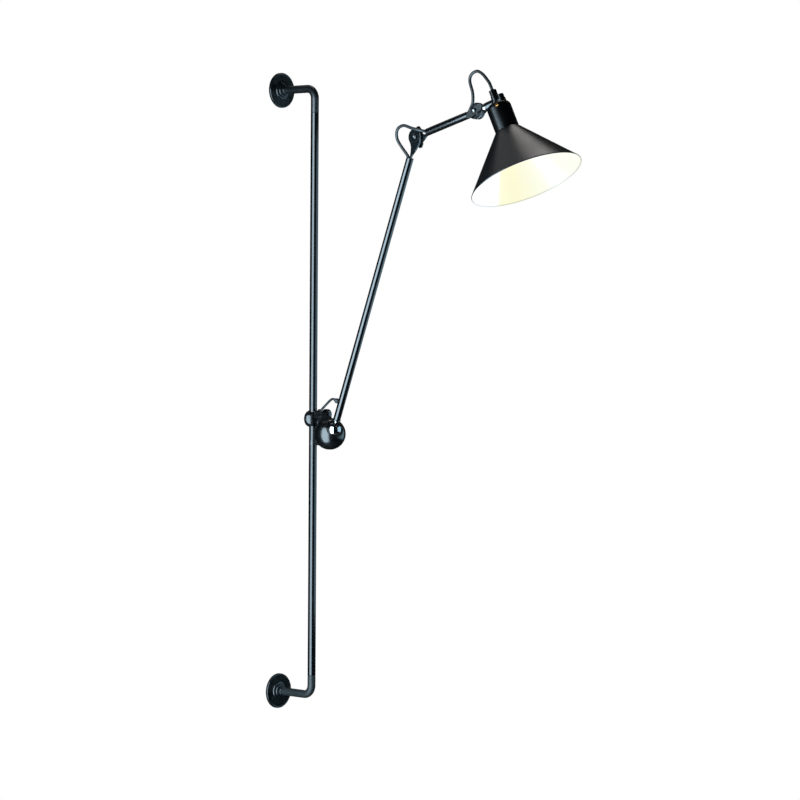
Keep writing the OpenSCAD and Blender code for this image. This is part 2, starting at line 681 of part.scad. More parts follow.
module upper_inner_plate() color(black) along_upper() mirror([0, 0, 1])
    elbow_plate(1, upper_mouth, false);
module upper_arm_tube() color(black) along_upper() translate([0, 0, upper_mouth]) difference() {
    tube(arm_d, arm_bore, upper_tube_len);
    translate([0, 0, -1]) mouth_notch();
    translate([0, 0, upper_tube_len - notch_len]) mouth_notch();
}
module upper_arm_cable() color(rubber) along_upper()
    translate([0, cord_off, upper_mouth + notch_len])
    cylinder(d = cord_d, h = upper_tube_len - 2 * notch_len);
module upper_outer_plate() color(black) along_upper() translate([0, 0, upper_len])
    elbow_plate(-1, outer_mouth, false);

// Neck and swivel

module elbow_2_bolt() color(steel) along_neck() elbow_bolt(1);
module elbow_2_washer() color(rubber) along_neck() elbow_washer();
module elbow_2_wing_nut() color(black) at_elbow_2() wing_nut(-1, wing_turn_2);

neck_pin_end = neck_len - bracket_d / 2 - 1;
neck_end = sleeve_gap - spacer_t - 2 * slip;
module neck_plate() color(black) along_neck() {
    disc(1, true);
    difference() {
        translate([0.6, 0, 0]) rotate([90, 0, 90]) linear_extrude(disc_out - 1)
            polygon([[-11, 8], [-sleeve_d / 2 + 1, neck_end - 1],
                [sleeve_d / 2 - 1, neck_end - 1], [11, 8]]);
        sideways() translate([0, 0, -far / 2]) cylinder(d = disc_d - 1, h = far);
    }
    translate([0, 0, neck_end - 2]) cylinder(d = sleeve_d - 1, h = 2);
    translate([0, 0, neck_end - 1]) cylinder(d = pin_d, h = neck_pin_end - neck_end + 1);
}

module neck_spacer() color(steel) along_neck() translate([0, 0, neck_end + slip])
    tube(sleeve_d - 0.4, pin_d + 2 * slip, spacer_t);

module swivel_sleeve() color(black) along_neck() translate([0, 0, sleeve_gap + slip])
    difference() {
        rotate_extrude() polygon(concat([[0, 0], [sleeve_d / 2 - 0.6, 0], [sleeve_d / 2, 0.6]],
            [[sleeve_d / 2, sleeve_len], [0, sleeve_len]]));
        translate([0, 0, -eps]) cylinder(d = pin_d + 2 * fit, h = far);
    }
sleeve_len = neck_len - bracket_d / 2 + 2 - sleeve_gap - slip;

// Head

module head_bracket() color(black) difference() {
    union() {
        in_head() translate([0, 0, hub_high]) cylinder(d = bracket_d, h = hub_low - hub_high);
        in_head() translate([0, 0, cap_z]) cylinder(d = bracket_d + 6, h = hub_low - cap_z);
        in_head() translate([0, cap_out, cap_z]) cylinder(d = cap_d + 2, h = 8);
        in_head() translate([-cap_d / 2 - 1, 0, cap_z])
            cube([cap_d + 2, cap_out, hub_low - cap_z]);
    }
    in_head() translate([0, 0, hub_high - eps]) cylinder(d = 8, h = far);
    in_head() translate([0, cap_out, cap_z - eps]) cylinder(d = 4 + 2 * slip, h = 4);
    in_head() translate([0, cap_out, cap_z - far]) cylinder(d = cap_d + 2 * gap, h = far);
    along_neck() translate([0, 0, sleeve_gap]) cylinder(d = sleeve_d + 2 * fit,
                                                        h = sleeve_len + 2 * slip);
    along_neck() cylinder(d = pin_d + 2 * slip, h = neck_len);
    in_head() rotate_extrude($fn = 64) polygon(concat([[0, hub_low]], dome(dome_r + slip),
        [[cup_r + slip, cup_end], [0, cup_end]]));
}
function dome(r) = arc([cup_r - dome_r, cup_top + dome_r], r, -90, 0, 8);

module cap_screw() color(grey) in_head() translate([0, cap_out, cap_z]) {
    mirror([0, 0, 1]) rotate_extrude() polygon(concat([[0, 0], [cap_d / 2, 0]],
        arc([cap_d / 2 - 1, cap_h - 1], 1, 0, 90, 4), [[0, cap_h]]));
    cylinder(d = 4, h = 3.2);
}

module head_gland() color(black) in_head() translate([0, 0, gland_end]) difference() {
    tube(gland_d, gland_d - 3.5, gland_len);
    rotate(90 + 45) translate([0, -slit_w / 2, -eps]) cube([gland_d, slit_w, gland_len - 3]);
}

module gland_bush() color(rubber) in_head() translate([0, 0, gland_end + 2])
    difference() {
        cylinder(d = gland_d - 3.5 - 2 * slip, h = gland_len - 2);
        translate([0, 0, -eps]) cylinder(d = cord_d + 2 * fit, h = 4);
    }

function turned(points) = [for (i = [len(points) - 1:-1:0]) points[i]];

// the room that the swivel sleeve takes, grown by g
module sleeve_space(g) along_neck() translate([0, 0, sleeve_gap - slip])
    cylinder(d = sleeve_d + 2 * g, h = sleeve_len + 2 * slip + g);

module head_cup() color(black) difference() {
    union() {
        in_head() rotate_extrude($fn = 64) polygon(concat([[cup_bore, cup_top]], dome(dome_r),
            [[cup_r, cup_end], [cup_r - cup_wall, cup_end]], turned(dome(dome_r - cup_wall)),
            [[cup_bore, cup_top + cup_wall]]));
        intersection() {
            in_head() rotate_extrude($fn = 64) polygon(concat([[0, cup_top + eps]],
                dome(dome_r - eps), [[cup_r - eps, 2 * dome_r], [0, 2 * dome_r]]));
            sleeve_space(gap + cup_wall);
        }
    }
    sleeve_space(gap);
    in_head() cylinder(r = cup_bore, h = 2 * dome_r);
    in_head() for (i = [0:vent_count - 1]) rotate(vent_turn + i * 360 / vent_count)
        translate([cup_r - dome_r, 0, cup_top + dome_r]) rotate([0, 90 + vent_rise, 0])
        translate([0, 0, dome_r - 4]) cylinder(d = vent_d, h = 6);
}

module lamp_holder() color([0.9, 0.88, 0.84]) in_head() difference() {
    union() {
        translate([0, 0, holder_top]) cylinder(d = holder_d - 17, h = 8);
        translate([0, 0, holder_top + 6]) cylinder(d = holder_d, h = holder_end - holder_top - 6);
    }
    translate([0, 0, holder_end - cap_len - 6]) cylinder(d = thread_d + 1.2 + 2 * slip, h = far);
    translate([0, 0, holder_top - eps]) cylinder(d = 6, h = 6);
}

module holder_shell() color(brass) in_head() translate([0, 0, holder_end - cap_len - 2])
    tube(thread_d + 1.2, thread_d, cap_len - 2);

module centre_contact() color(brass) in_head() translate([0, 0, holder_end - cap_len - 6 + slip])
    cylinder(d = 9, h = 4);

module shade_ring() color([0.9, 0.88, 0.84]) in_head()
    translate([0, 0, shade_top + shade_wall + slip]) tube(holder_d + 7, holder_d + 2 * fit, 5);

shade_neck = cup_r + 1;
module shade() color(black) in_head() rotate_extrude($fn = 96) polygon(concat(
    [[holder_d / 2 + slip, shade_top + shade_wall], [holder_d / 2 + slip, shade_top],
     [shade_neck, shade_top]],
    arc([shade_r - rim_r, shade_end - rim_r], rim_r, -30, 180, 8),
    [[shade_neck - 0.6, shade_top + shade_wall]]));

module lamp_cap() color(steel) in_head() translate([0, 0, holder_end - cap_len - 2 + slip]) {
    translate([0, 0, 3]) cylinder(d = lamp_cap_d, h = cap_len);
    cylinder(d1 = 9, d2 = lamp_cap_d - 4, h = 3);
}

glass_top = holder_end + 1 + 2 * slip;
module lamp_bulb() color([1, 0.97, 0.9]) in_head() translate([0, 0, glass_top])
    rotate_extrude() polygon(concat(
        [[0, 0], [lamp_cap_d / 2 + 1, 0], [lamp_cap_d / 2 + 1.5, 6],
         [bulb_d / 2 - 4, bulb_len - bulb_d / 2 - 13]],
        arc([0, bulb_len - bulb_d / 2], bulb_d / 2, -18, 90, 10)));

// Cord loops. Each route is a list of points chosen by hand, from one mouth to the next

foot_cord_points = [
    [0, -112.9, 567.7], [0, -115.2, 569.3], [-0.5, -118.3, 571.6], [-1.5, -122.8, 575],
    [-3, -131.4, 581], [-4.5, -140, 587], [-6, -147.4, 591.4], [-7.2, -153.6, 593.6],
    [-8, -159.6, 592.8], [-8, -162, 591.9], [-8, -164.3, 591.1], [-8, -165.4, 590.7]
];
elbow_1_points = [
    [-8, -347.4, 1052.9], [-8, -348.8, 1056.6], [-8, -349.9, 1060.2], [-8, -350, 1064],
    [-8.3, -345.2, 1070.9], [-9.5, -335.9, 1081.9], [-11, -328.4, 1092], [-12.5, -324.2, 1100.9],
    [-14, -324.2, 1109.7], [-15, -326.8, 1117.3], [-16, -333.6, 1122.7], [-16.8, -344.3, 1125.2],
    [-17, -354.7, 1122.9], [-17, -363.7, 1119.9], [-17, -373.9, 1117.5], [-16, -383.3, 1115.3],
    [-12, -389.9, 1113.6], [-9, -393.6, 1113.1], [-8, -397.4, 1113.9], [-8, -400.8, 1114.9],
    [-8, -404.7, 1115.9], [-8, -407.9, 1116.9]
];
elbow_2_points = [
    [-8, -488.9, 1139.8], [-8, -492.2, 1140.7], [-8, -495.6, 1141.7], [-8, -498.6, 1143],
    [-7.6, -501, 1145.6], [-6.8, -502.6, 1149.2], [-5.8, -504.2, 1153.8], [-5, -506.2, 1158.4],
    [-5, -508.1, 1163.4], [-5, -508.5, 1171.8], [-5, -507.2, 1183.2], [-5, -503.4, 1193.7],
    [-5, -500.3, 1204.2], [-5, -502.2, 1213.5], [-5.5, -509.7, 1219.5], [-6, -521.2, 1221.4],
    [-6.5, -533.9, 1214.7], [-7.2, -544.4, 1204.9], [-7.7, -550.6, 1198.2],
    [-8, -554.7, 1191.2], [-8, -556.4, 1187.7], [-8, -558, 1184.5], [-8, -559.6, 1181.4],
    [-8, -561.1, 1178.4]
];

function unit(v) = v / norm(v);
function tangent(p, i) = unit(p[min(i + 1, len(p) - 1)] - p[max(i - 1, 0)]);
function smooth(p) = [for (i = [0:len(p) - 2]) for (k = [0, 1]) k == 0 ? p[i] :
    (p[i] + p[i + 1]) * 9 / 16 - (p[max(i - 1, 0)] + p[min(i + 2, len(p) - 1)]) / 16, p[len(p) - 1]];
function ring_points(p, i, d, n) = let (t = tangent(p, i), u = unit(cross(t, [1, 0, 0])),
    v = cross(u, t)) [for (k = [0:n - 1]) p[i] + d / 2 * (cos(k * 360 / n) * u + sin(k * 360 / n) * v)];

module cord(points, d, n = 10) color(rubber) {
    p = smooth(points);
    last = len(p) - 1;
    polyhedron(
        [for (i = [0:last]) each ring_points(p, i, d, n)],
        concat([[for (k = [0:n - 1]) k]], [[for (k = [n - 1:-1:0]) last * n + k]],
            [for (i = [0:last - 1]) for (k = [0:n - 1]) let (a = i * n + k, b = i * n + (k + 1) % n)
                each [[a, a + n, b], [b, a + n, b + n]]]));
}

module foot_cord() cord(foot_cord_points, foot_cord_d);
module elbow_1_cord() cord(elbow_1_points, cord_d);
module elbow_2_cord() cord(elbow_2_points, cord_d);

lower_flange();
upper_flange();
flange_grub_screws();
lower_end_pipe();
upper_end_pipe();
rail_tube();
rail_nipples();
rail_bush();
clamp_barrel();
pinch_bolt();
clamp_washer();
clamp_knob();
ball_housing();
socket_ring();
ball_seat();
foot_gland();
inlet_grommet();
arm_ball();
foot_ferrule();
lower_arm_tube();
arm_grommet();
lower_arm_cable();
lower_arm_plate();
elbow_1_bolt();
elbow_1_washer();
elbow_1_wing_nut();
upper_inner_plate();
upper_arm_tube();
upper_arm_cable();
upper_outer_plate();
elbow_2_bolt();
elbow_2_washer();
elbow_2_wing_nut();
neck_plate();
neck_spacer();
swivel_sleeve();
head_bracket();
cap_screw();
head_gland();
gland_bush();
head_cup();
lamp_holder();
holder_shell();
centre_contact();
shade_ring();
shade();
lamp_cap();
lamp_bulb();
foot_cord();
elbow_1_cord();
elbow_2_cord();
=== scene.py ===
import math

import bmesh
import bpy
from mathutils import Matrix, Vector


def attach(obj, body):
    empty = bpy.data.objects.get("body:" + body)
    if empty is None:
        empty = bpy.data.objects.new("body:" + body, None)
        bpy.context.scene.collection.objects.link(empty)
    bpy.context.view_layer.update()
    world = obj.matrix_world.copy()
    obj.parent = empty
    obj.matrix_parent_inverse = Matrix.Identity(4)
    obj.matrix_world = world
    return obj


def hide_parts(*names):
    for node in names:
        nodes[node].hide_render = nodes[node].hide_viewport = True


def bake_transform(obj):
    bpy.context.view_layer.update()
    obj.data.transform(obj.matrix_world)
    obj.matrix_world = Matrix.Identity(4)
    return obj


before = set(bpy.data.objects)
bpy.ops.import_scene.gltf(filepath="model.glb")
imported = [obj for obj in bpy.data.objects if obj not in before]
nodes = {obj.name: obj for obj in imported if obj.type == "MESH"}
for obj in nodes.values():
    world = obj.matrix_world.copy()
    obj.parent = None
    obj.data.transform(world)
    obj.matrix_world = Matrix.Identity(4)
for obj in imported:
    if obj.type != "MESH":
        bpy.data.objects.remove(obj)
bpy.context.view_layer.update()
print("frame loaded,", len(nodes), "nodes")

# the flanges' centres are this far apart, and the lower one's is the origin
flangeSpan = 1.208


# camera, at the photo's viewing angle

cameraSettings = {
    "place": (-4.1418, -4.0025, 0.7954),
    "azimuth": -48.4,
    "pitch": -2.057,
    "roll": 0.396,
    "lens": 128.76,
    "sensor": 36,
    "sight": 100,
}


def makeCamera(settings):
    azimuth = math.radians(settings["azimuth"])
    pitch = math.radians(settings["pitch"])
    roll = math.radians(settings["roll"])
    ahead = Vector((-math.sin(azimuth) * math.cos(pitch),
                    math.cos(azimuth) * math.cos(pitch),
                    math.sin(pitch)))
    level = ahead.cross(Vector((0, 0, 1))).normalized()
    upright = level.cross(ahead)
    right = level * math.cos(roll) + upright * math.sin(roll)
    up = upright * math.cos(roll) - level * math.sin(roll)
    data = bpy.data.cameras.new("photoCamera")
    data.lens = settings["lens"]
    data.sensor_width = settings["sensor"]
    data.clip_end = settings["sight"]
    camera = bpy.data.objects.new("photoCamera", data)
    turn = Matrix((right, up, -ahead)).transposed().to_4x4()
    camera.matrix_world = Matrix.Translation(settings["place"]) @ turn
    bpy.context.scene.collection.objects.link(camera)
    bpy.context.scene.camera = camera


makeCamera(cameraSettings)
bpy.context.scene.view_settings.view_transform = "Standard"
print("camera set")


# shared by every piece that the scene adds

def putInScene(name, bm, smooth):
    # a finished bmesh becomes a piece, and edges below the angle in smooth are shaded soft
    bmesh.ops.recalc_face_normals(bm, faces=bm.faces[:])
    mesh = bpy.data.meshes.new(name)
    bm.to_mesh(mesh)
    bm.free()
    if smooth:
        mesh.shade_smooth()
        mesh.set_sharp_from_angle(angle=math.radians(smooth))
    piece = bpy.data.objects.new(name, mesh)
    bpy.context.scene.collection.objects.link(piece)
    return piece


def partsOf(geometry, kind):
    return [part for part in geometry if isinstance(part, kind)]


# cords, on the routes that the part's source gives, in metres

cordSettings = {
    "sides": 24,
    "seamBand": 0.1,
    "smooth": 60,
    "refine": 3,
    # points of the refined route that lie inside the bushes at its two ends
    "heldStart": 12,
    "heldEnd": 14,
    "foot": {
        "diameter": 0.0048,
        "points": [
            (0, -0.1129, 0.5677), (0, -0.1152, 0.5693), (-0.0005, -0.1183, 0.5716),
            (-0.0015, -0.1228, 0.575), (-0.003, -0.1314, 0.581), (-0.0045, -0.14, 0.587),
            (-0.006, -0.1474, 0.5914), (-0.0072, -0.1536, 0.5936), (-0.008, -0.1596, 0.5928),
            (-0.008, -0.162, 0.5919), (-0.008, -0.1643, 0.5911), (-0.008, -0.1654, 0.5907)]},
    "elbow1": {
        "diameter": 0.006,
        "points": [
            (-0.008, -0.3474, 1.0529), (-0.008, -0.3488, 1.0566), (-0.008, -0.3499, 1.0602),
            (-0.008, -0.35, 1.064), (-0.0083, -0.3452, 1.0709), (-0.0095, -0.3359, 1.0819),
            (-0.011, -0.3284, 1.092), (-0.0125, -0.3242, 1.1009), (-0.014, -0.3242, 1.1097),
            (-0.015, -0.3268, 1.1173), (-0.016, -0.3336, 1.1227), (-0.0168, -0.3443, 1.1252),
            (-0.017, -0.3547, 1.1229), (-0.017, -0.3637, 1.1199), (-0.017, -0.3739, 1.1175),
            (-0.016, -0.3833, 1.1153), (-0.012, -0.3899, 1.1136), (-0.009, -0.3936, 1.1131),
            (-0.008, -0.3974, 1.1139), (-0.008, -0.4008, 1.1149), (-0.008, -0.4047, 1.1159),
            (-0.008, -0.4079, 1.1169)]},
    "elbow2": {
        "diameter": 0.006,
        "points": [
            (-0.008, -0.4889, 1.1398), (-0.008, -0.4922, 1.1407), (-0.008, -0.4956, 1.1417),
            (-0.008, -0.4986, 1.143), (-0.0076, -0.501, 1.1456), (-0.0068, -0.5026, 1.1492),
            (-0.0058, -0.5042, 1.1538), (-0.005, -0.5062, 1.1584), (-0.005, -0.5081, 1.1634),
            (-0.005, -0.5085, 1.1718), (-0.005, -0.5072, 1.1832), (-0.005, -0.5034, 1.1937),
            (-0.005, -0.5003, 1.2042), (-0.005, -0.5022, 1.2135), (-0.0055, -0.5097, 1.2195),
            (-0.006, -0.5212, 1.2214), (-0.0065, -0.5339, 1.2147), (-0.0072, -0.5444, 1.2049),
            (-0.0077, -0.5506, 1.1982), (-0.008, -0.5547, 1.1912), (-0.008, -0.5564, 1.1877),
            (-0.008, -0.558, 1.1845), (-0.008, -0.5596, 1.1814), (-0.008, -0.5611, 1.1784)]},
}


def refinedRoute(points, rounds):
    # each round adds a midpoint to every step, by the four-point rule: 9, 9, -1 and -1 sixteenths
    route = [Vector(p) for p in points]
    for _ in range(rounds):
        finer = []
        for i in range(len(route) - 1):
            before = route[max(i - 1, 0)]
            after = route[min(i + 2, len(route) - 1)]
            finer.append(route[i])
            finer.append((route[i] + route[i + 1]) * 9 / 16 - (before + after) / 16)
        finer.append(route[-1])
        route = finer
    return route


def routeLength(route):
    return sum((b - a).length for a, b in zip(route, route[1:]))


def halfWay(route):
    # index of the first point past half of the route's length
    half = routeLength(route) / 2
    run = 0
    for i in range(1, len(route)):
        run += (route[i] - route[i - 1]).length
        if run >= half:
            return i


def makeCord(name, route, diameter, alongStart):
    # a circle is extruded from point to point of the route, with a UV map for the braid
    bm = bmesh.new()
    around = bm.verts.layers.float.new("around")
    along = bm.verts.layers.float.new("along")
    bmesh.ops.create_circle(bm, cap_ends=True, segments=cordSettings["sides"], radius=diameter / 2)
    for vert in bm.verts:
        vert[around] = math.atan2(vert.co.y, vert.co.x) / math.tau % 1
        vert[along] = alongStart / diameter
    ring = bm.verts[:]
    rim = bm.edges[:]
    tangents = [(route[min(i + 1, len(route) - 1)] - route[max(i - 1, 0)]).normalized()
                for i in range(len(route))]
    across = Vector((1, 0, 0)).cross(tangents[0]).normalized()
    place = None
    run = alongStart
    for i, point in enumerate(route):
        across = (across - tangents[i] * across.dot(tangents[i])).normalized()
        turn = Matrix((across, tangents[i].cross(across), tangents[i])).transposed().to_4x4()
        nextPlace = Matrix.Translation(point) @ turn
        if place is None:
            bmesh.ops.transform(bm, matrix=nextPlace, verts=ring)
        else:
            run += (point - route[i - 1]).length
            drawn = bmesh.ops.extrude_edge_only(bm, edges=rim)["geom"]
            ring = partsOf(drawn, bmesh.types.BMVert)
            rim = partsOf(drawn, bmesh.types.BMEdge)
            bmesh.ops.transform(bm, matrix=nextPlace @ place.inverted(), verts=ring)
            for vert in ring:
                vert[along] = run / diameter
        place = nextPlace
    bmesh.ops.holes_fill(bm, edges=rim, sides=0)
    braid = bm.loops.layers.uv.new("braid")
    # faces that close the ring run on past 1, not back to 0
    band = cordSettings["seamBand"]
    for face in bm.faces:
        closing = max(vert[around] for vert in face.verts) > 1 - band
        for loop in face.loops:
            u = loop.vert[around]
            if closing and u < band:
                u += 1
            loop[braid].uv = (u, loop.vert[along])
    return putInScene(name, bm, smooth=cordSettings["smooth"])


def layCord(name, route, diameter, replaced=None, alongStart=0.0):
    cord = makeCord(name, route, diameter, alongStart)
    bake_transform(cord)
    if replaced:
        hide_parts(replaced)
    return cord


def layCords(settings):
    # a cord that crosses two joints is laid in two pieces, which meet on the body between them
    laid = []
    lengths = []
    for key, chain, replaced in (("foot", ("carrier", "arm_foot", "lower_arm"), "foot_cord"),
                                 ("elbow1", ("lower_arm", "upper_arm"), "elbow_1_cord"),
                                 ("elbow2", ("upper_arm", "neck", "head"), "elbow_2_cord")):
        diameter = settings[key]["diameter"]
        route = refinedRoute(settings[key]["points"], settings["refine"])
        lengths.append(round(routeLength(route), 4))
        if len(chain) == 2:
            laid.append(layCord(key + "Cord", route, diameter, replaced))
            continue
        split = halfWay(route)
        low = route[:split + 1]
        laid.append(layCord(key + "CordLow", low, diameter, replaced))
        laid.append(layCord(key + "CordHigh", route[split:], diameter,
                            alongStart=routeLength(low)))
    print("cords laid:", lengths)
    return laid


cords = layCords(cordSettings)


# pieces of node trees that several finishes share

# most of a noise's values lie in this band
noiseBand = (0.3, 0.7)


def feed(tree, socket, given):
    # an input takes a number or another node's output
    if isinstance(given, (int, float)):
        socket.default_value = given
    else:
        tree.links.new(given, socket)


def addMath(tree, operation, a, b=None, clamp=False):
    node = tree.nodes.new("ShaderNodeMath")
    node.operation = operation
    node.use_clamp = clamp
    feed(tree, node.inputs[0], a)
    if b is not None:
        feed(tree, node.inputs[1], b)
    return node.outputs[0]


def addBlend(tree, a, b, share):
    # a and b added up, a by its share and b by the rest
    return addMath(tree, "ADD", addMath(tree, "MULTIPLY", a, share),
                   addMath(tree, "MULTIPLY", b, 1 - share))


def addReach(tree, a, b):
    # distance from an axis, by the two coordinates across it
    square = addMath(tree, "ADD", addMath(tree, "POWER", a, 2.0), addMath(tree, "POWER", b, 2.0))
    return addMath(tree, "SQRT", square)


def addNoise(tree, vector, look):
    # a look is a scale, a detail and a roughness
    scale, detail, rough = look
    node = tree.nodes.new("ShaderNodeTexNoise")
    tree.links.new(vector, node.inputs["Vector"])
    feed(tree, node.inputs["Scale"], scale)
    node.inputs["Detail"].default_value = detail
    node.inputs["Roughness"].default_value = rough
    return node.outputs["Fac"]


def addRange(tree, value, band, outLow=0.0, outHigh=1.0):
    # the band's two ends become the low and the high result
    node = tree.nodes.new("ShaderNodeMapRange")
    for label, given in (("Value", value), ("From Min", band[0]), ("From Max", band[1]),
                         ("To Min", outLow), ("To Max", outHigh)):
        feed(tree, node.inputs[label], given)
    return node.outputs["Result"]


def addMix(tree, factor, a, b):
    # a and b are colours or other nodes' outputs
    node = tree.nodes.new("ShaderNodeMix")
    node.data_type = "RGBA"
    tree.links.new(factor, node.inputs["Factor"])
    for label, given in (("A", a), ("B", b)):
        if isinstance(given, tuple):
            node.inputs[label].default_value = given + (1,)
        else:
            tree.links.new(given, node.inputs[label])
    return node.outputs["Result"]


def splitPlace(tree, place):
    node = tree.nodes.new("ShaderNodeSeparateXYZ")
    tree.links.new(place, node.inputs[0])
    return node.outputs


def localPlace(tree, place, centre, turn=(0, 0, 0)):
    # the given place seen from a piece's own centre and turn
    node = tree.nodes.new("ShaderNodeMapping")
    node.vector_type = "TEXTURE"
    node.inputs["Location"].default_value = centre
    node.inputs["Rotation"].default_value = turn
    tree.links.new(place, node.inputs["Vector"])
    return node.outputs["Vector"]


def addBump(tree, surface, height, strength, depth):
    bump = tree.nodes.new("ShaderNodeBump")
    bump.inputs["Strength"].default_value = strength
    bump.inputs["Distance"].default_value = depth
    tree.links.new(height, bump.inputs["Height"])
    tree.links.new(bump.outputs["Normal"], surface.inputs["Normal"])
    return bump


# shader node groups

def newGroup(name, inputs, outputs):
    # every input is a number, after the vector
    group = bpy.data.node_groups.new(name, "ShaderNodeTree")
    group.interface.new_socket("Vector", in_out="INPUT", socket_type="NodeSocketVector")
    for way, labels in (("INPUT", inputs), ("OUTPUT", outputs)):
        for label in labels:
            group.interface.new_socket(label, in_out=way, socket_type="NodeSocketFloat")
    given = group.nodes.new("NodeGroupInput").outputs
    made = group.nodes.new("NodeGroupOutput").inputs
    return group, given, made


def useGroup(tree, group, vector, values):
    node = tree.nodes.new("ShaderNodeGroup")
    node.node_tree = group
    tree.links.new(vector, node.inputs["Vector"])
    for label, value in values.items():
        node.inputs[label].default_value = value
    return node.outputs


spraySettings = {"patches": (22.0, 5, 0.6), "smears": (140.0, 3, 0.5), "patchShare": 0.7,
                 "peelDetail": 2, "peelRough": 0.5, "dust": (2600.0, 1, 0.5), "peelShare": 0.8}


def makeSprayGroup(settings):
    # powder coat: fine orange peel, slow patches in the gloss and a few fine scratches
    group, given, made = newGroup("sprayedCoat", ("Rough Low", "Rough High", "Peel Scale"),
                                  ("Roughness", "Height", "Patches"))
    patches = addNoise(group, given["Vector"], settings["patches"])
    smears = addNoise(group, given["Vector"], settings["smears"])
    rough = addRange(group, addBlend(group, patches, smears, settings["patchShare"]), noiseBand,
                     given["Rough Low"], given["Rough High"])
    peel = addNoise(group, given["Vector"],
                    (given["Peel Scale"], settings["peelDetail"], settings["peelRough"]))
    dust = addNoise(group, given["Vector"], settings["dust"])
    group.links.new(rough, made["Roughness"])
    group.links.new(addBlend(group, peel, dust, settings["peelShare"]), made["Height"])
    group.links.new(patches, made["Patches"])
    return group


edgeSettings = {"samples": 6, "worn": (0.995, 0.93), "chips": (260.0, 4, 0.6),
                "chipBand": (0.35, 0.62)}


def makeEdgeGroup(settings):
    # how far a point is on a worn edge, from the angle to a rounded-off normal
    group, given, made = newGroup("edgeWear", ("Radius", "Break Up"), ("Edge",))
    rounded = group.nodes.new("ShaderNodeBevel")
    rounded.samples = settings["samples"]
    group.links.new(given["Radius"], rounded.inputs["Radius"])
    plain = group.nodes.new("ShaderNodeNewGeometry")
    dot = group.nodes.new("ShaderNodeVectorMath")
    dot.operation = "DOT_PRODUCT"
    group.links.new(rounded.outputs["Normal"], dot.inputs[0])
    group.links.new(plain.outputs["Normal"], dot.inputs[1])
    edge = addRange(group, dot.outputs["Value"], settings["worn"])
    chips = addNoise(group, given["Vector"], settings["chips"])
    kept = addRange(group, chips, settings["chipBand"])
    broken = addMath(group, "ADD", addMath(group, "MULTIPLY", kept, given["Break Up"]),
                     addMath(group, "SUBTRACT", 1.0, given["Break Up"]))
    group.links.new(addMath(group, "MULTIPLY", edge, broken, clamp=True), made["Edge"])
    return group


ringsSettings = {"wander": (300.0, 2, 0.5), "wanderBy": 3.0}


def makeRingsGroup(settings):
    # fine rings left by a lathe, round the Y axis of the given vector
    group, given, made = newGroup("turnedRings", ("Pitch",), ("Height",))
    parts = splitPlace(group, given["Vector"])
    reach = addReach(group, parts["X"], parts["Z"])
    phase = addMath(group, "MULTIPLY", addMath(group, "DIVIDE", reach, given["Pitch"]), math.tau)
    wander = addMath(group, "MULTIPLY", addNoise(group, given["Vector"], settings["wander"]),
                     settings["wanderBy"])
    wave = addMath(group, "SINE", addMath(group, "ADD", phase, wander))
    group.links.new(addMath(group, "MULTIPLY", wave, 0.5), made["Height"])
    return group


sprayGroup = makeSprayGroup(spraySettings)
edgeGroup = makeEdgeGroup(edgeSettings)
ringsGroup = makeRingsGroup(ringsSettings)


# finishes for painted metal, one dictionary for each

paintDefaults = {"peelScale": 900.0, "patchBand": (0.35, 0.65), "breakUp": 0.5, "specular": 0.5,
                 "ior": 1.5, "coat": 0.0, "coatRough": 0.1, "bumpDepth": 0.00005}

wallBlack = {"colour": (0.0005, 0.0007, 0.0009), "second": (0.0009, 0.0013, 0.0016),
             "rough": (0.13, 0.18), "bump": 0.012, "specular": 0.38,
             "coat": 0.1, "coatRough": 0.08}
flangeBlack = {"colour": (0.0012, 0.0018, 0.002), "second": (0.002, 0.003, 0.0034),
               "rough": (0.2, 0.28), "bump": 0.05, "specular": 0.4,
               "ringPitch": 0.0011, "ringDepth": 1.6,
               "edge": (0.006, 0.008, 0.009), "edgeRadius": 0.0005}
endPipeBlack = {"colour": (0.0012, 0.0018, 0.002), "second": (0.002, 0.003, 0.0034),
                "rough": (0.32, 0.4), "bump": 0.03}
lowerPipeBlack = {"colour": (0.005, 0.0062, 0.0066), "second": (0.0065, 0.008, 0.0085),
                  "rough": (0.42, 0.5), "bump": 0.03, "specular": 0.25}
castBlack = {"colour": (0.0004, 0.0005, 0.0006), "second": (0.0008, 0.001, 0.0012),
             "rough": (0.2, 0.27), "peelScale": 1400.0, "bump": 0.04, "bumpDepth": 0.00008,
             "edge": (0.008, 0.009, 0.009), "edgeRadius": 0.0005, "breakUp": 0.6}
# a crown is given by its apex and its front end, along Y, and its radius
barrelBlack = dict(castBlack, crown=(-0.087, -0.1055, 0.018))
plateBlack = {"colour": (0.0014, 0.0026, 0.003), "second": (0.0024, 0.004, 0.0046),
              "rough": (0.1, 0.15), "peelScale": 1200.0, "bump": 0.04,
              "edge": (0.02, 0.023, 0.025), "edgeRadius": 0.0005, "breakUp": 0.35}
tubeBlack = {"colour": (0.0005, 0.0007, 0.0009), "second": (0.0009, 0.0013, 0.0016),
             "rough": (0.13, 0.18), "bump": 0.02, "coat": 0.15, "coatRough": 0.08}
cupBlack = {"colour": (0.0004, 0.0004, 0.0005), "second": (0.0008, 0.0009, 0.001),
            "rough": (0.26, 0.32), "bump": 0.03, "specular": 0.25,
            "edge": (0.004, 0.0045, 0.005), "edgeRadius": 0.0005}
ballChrome = {"colour": (0.0005, 0.0006, 0.0008), "second": (0.001, 0.0012, 0.0015),
              "rough": (0.02, 0.04), "bump": 0.01, "specular": 1.0, "ior": 2.0,
              "coat": 1.0, "coatRough": 0.02}
nutBlack = {"colour": (0.0003, 0.0003, 0.0004), "second": (0.0007, 0.0007, 0.0008),
            "rough": (0.2, 0.3), "bump": 0.04, "specular": 0.35,
            "edge": (0.012, 0.013, 0.015), "edgeRadius": 0.0004}
